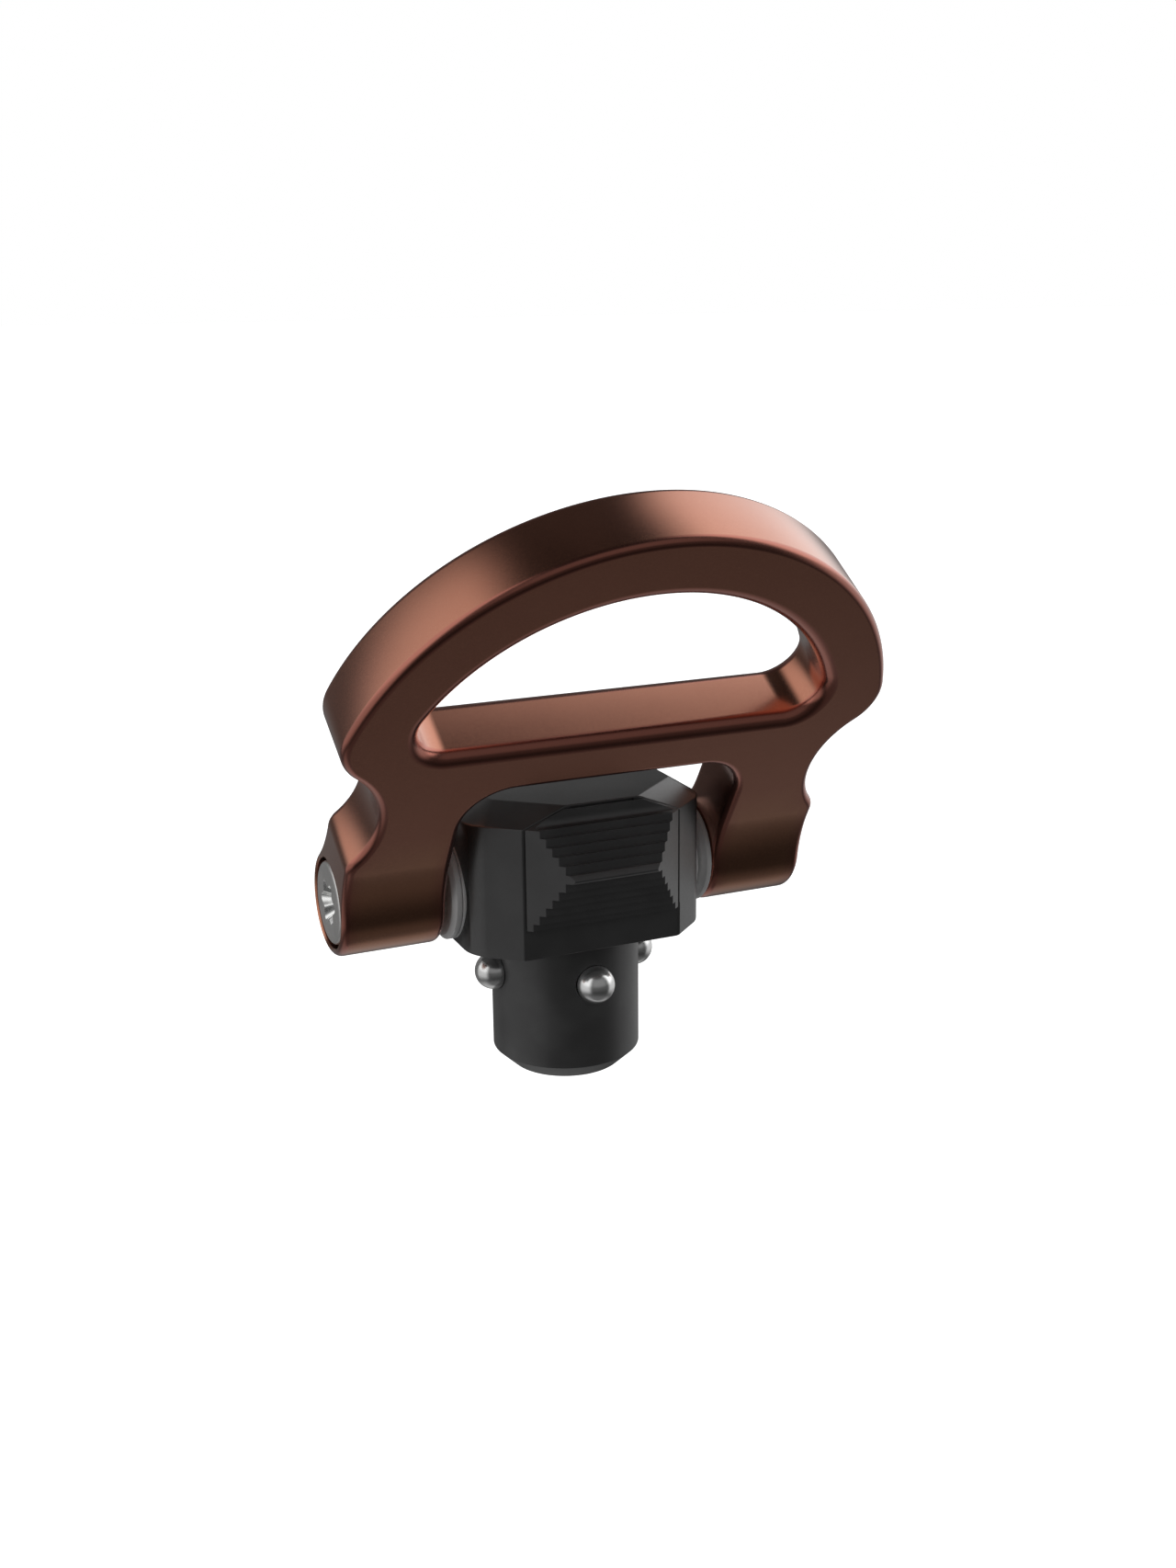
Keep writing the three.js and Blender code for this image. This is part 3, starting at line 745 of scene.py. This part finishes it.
# light: two tall soft boxes, right and left, on a dim surround
world = bpy.data.worlds.new("studio")
sc.world = world
world.use_nodes = True
w = Graph(world.node_tree)
w.n.clear()
co = w.n.new("ShaderNodeTexCoord").outputs["Generated"]
sep = w.n.new("ShaderNodeSeparateXYZ")
w.l.new(co, sep.inputs[0])
X, Y, Z = sep.outputs
D = math.radians
az = w.math("ARCTAN2", w.math("ABSOLUTE", X), w.math("MULTIPLY", Y, -1.0))
el = w.math("ARCSINE", Z)
right = w.ramp(X, -0.02, 0.02)


def window(v, a, b, c, d):
    return w.math("MULTIPLY", w.ramp(v, D(a), D(b)), w.ramp(v, D(c), D(d), 1.0, 0.0))


def tall(a0, a1, a2, a3, high, skirt, e0, e1):
    """a tall soft box with a dimmer skirt below it."""
    level = w.math("ADD", w.math("MULTIPLY", window(el, -6, 14, e0, e1), high), w.math("MULTIPLY", window(el, -48, -14, -6, 14), skirt))
    return w.math("MULTIPLY", window(az, a0, a1, a2, a3), level)


box_r = w.math("MULTIPLY", tall(50, 74, 128, 142, 1.34, 0.58, 50, 73), right)
box_l = w.math("MULTIPLY", tall(44, 70, 118, 140, 0.93, 0.50, 48, 68), w.math("SUBTRACT", 1.0, right))
back = w.math("MULTIPLY", w.math("MULTIPLY", w.ramp(az, D(120), D(165)), w.ramp(el, D(28), D(56), 1.0, 0.25)), 0.12)
low = w.math("MULTIPLY", w.ramp(el, D(-38), D(-62), 0.0, 1.0), w.ramp(az, D(55), D(115), 0.068, 0.28))
front = w.math("MULTIPLY", w.math("MULTIPLY", w.ramp(az, D(30), D(60), 1.0, 0.0), w.math("ADD", window(el, -4, 14, 40, 60), w.math("MULTIPLY", window(el, -30, -10, -4, 14), 0.22))), 0.17)
total = w.math("ADD", w.math("ADD", w.math("ADD", box_r, box_l), w.math("ADD", back, low)), w.math("ADD", front, 0.028))
bg = w.n.new("ShaderNodeBackground")
w.l.new(total, bg.inputs["Strength"])
bg.inputs["Color"].default_value = (1, 1, 1, 1)
plain = w.n.new("ShaderNodeBackground")
plain.inputs["Color"].default_value = (1, 1, 1, 1)
plain.inputs["Strength"].default_value = 1.0
path = w.n.new("ShaderNodeLightPath")
mixw = w.n.new("ShaderNodeMixShader")
w.l.new(path.outputs["Is Camera Ray"], mixw.inputs[0])
w.l.new(bg.outputs[0], mixw.inputs[1])
w.l.new(plain.outputs[0], mixw.inputs[2])
outw = w.n.new("ShaderNodeOutputWorld")
w.l.new(mixw.outputs[0], outw.inputs[0])
sc.view_settings.view_transform = "Standard"
sc.view_settings.look = "None"
sc.view_settings.exposure = 0.0
sc.view_settings.gamma = 1.0

# ------------------------------------------------------------------ camera
AZ, EL, ROLL = math.radians(23.583), math.radians(15.851), math.radians(-0.629)
fwd = Vector((math.sin(AZ) * math.cos(EL), math.cos(AZ) * math.cos(EL), -math.sin(EL)))
rt = Vector((math.cos(AZ), -math.sin(AZ), 0))
up = rt.cross(fwd)
r2 = rt * math.cos(ROLL) + up * math.sin(ROLL)
u2 = up * math.cos(ROLL) - rt * math.sin(ROLL)
cam = bpy.data.cameras.new("camera")
cam.sensor_fit = "VERTICAL"
cam.sensor_height = 36.0
cam.sensor_width = 27.01
cam.lens = 1897.05 / 1706 * 36.0
cam.clip_start = 0.001
cam.clip_end = 50
co_ = bpy.data.objects.new("camera", cam)
m = Matrix((r2, u2, -fwd)).transposed().to_4x4()
m.translation = Vector((-40.738, -97.376, 38.855)) * MM
co_.matrix_world = m
sc.collection.objects.link(co_)
sc.camera = co_

bpy.context.view_layer.update()
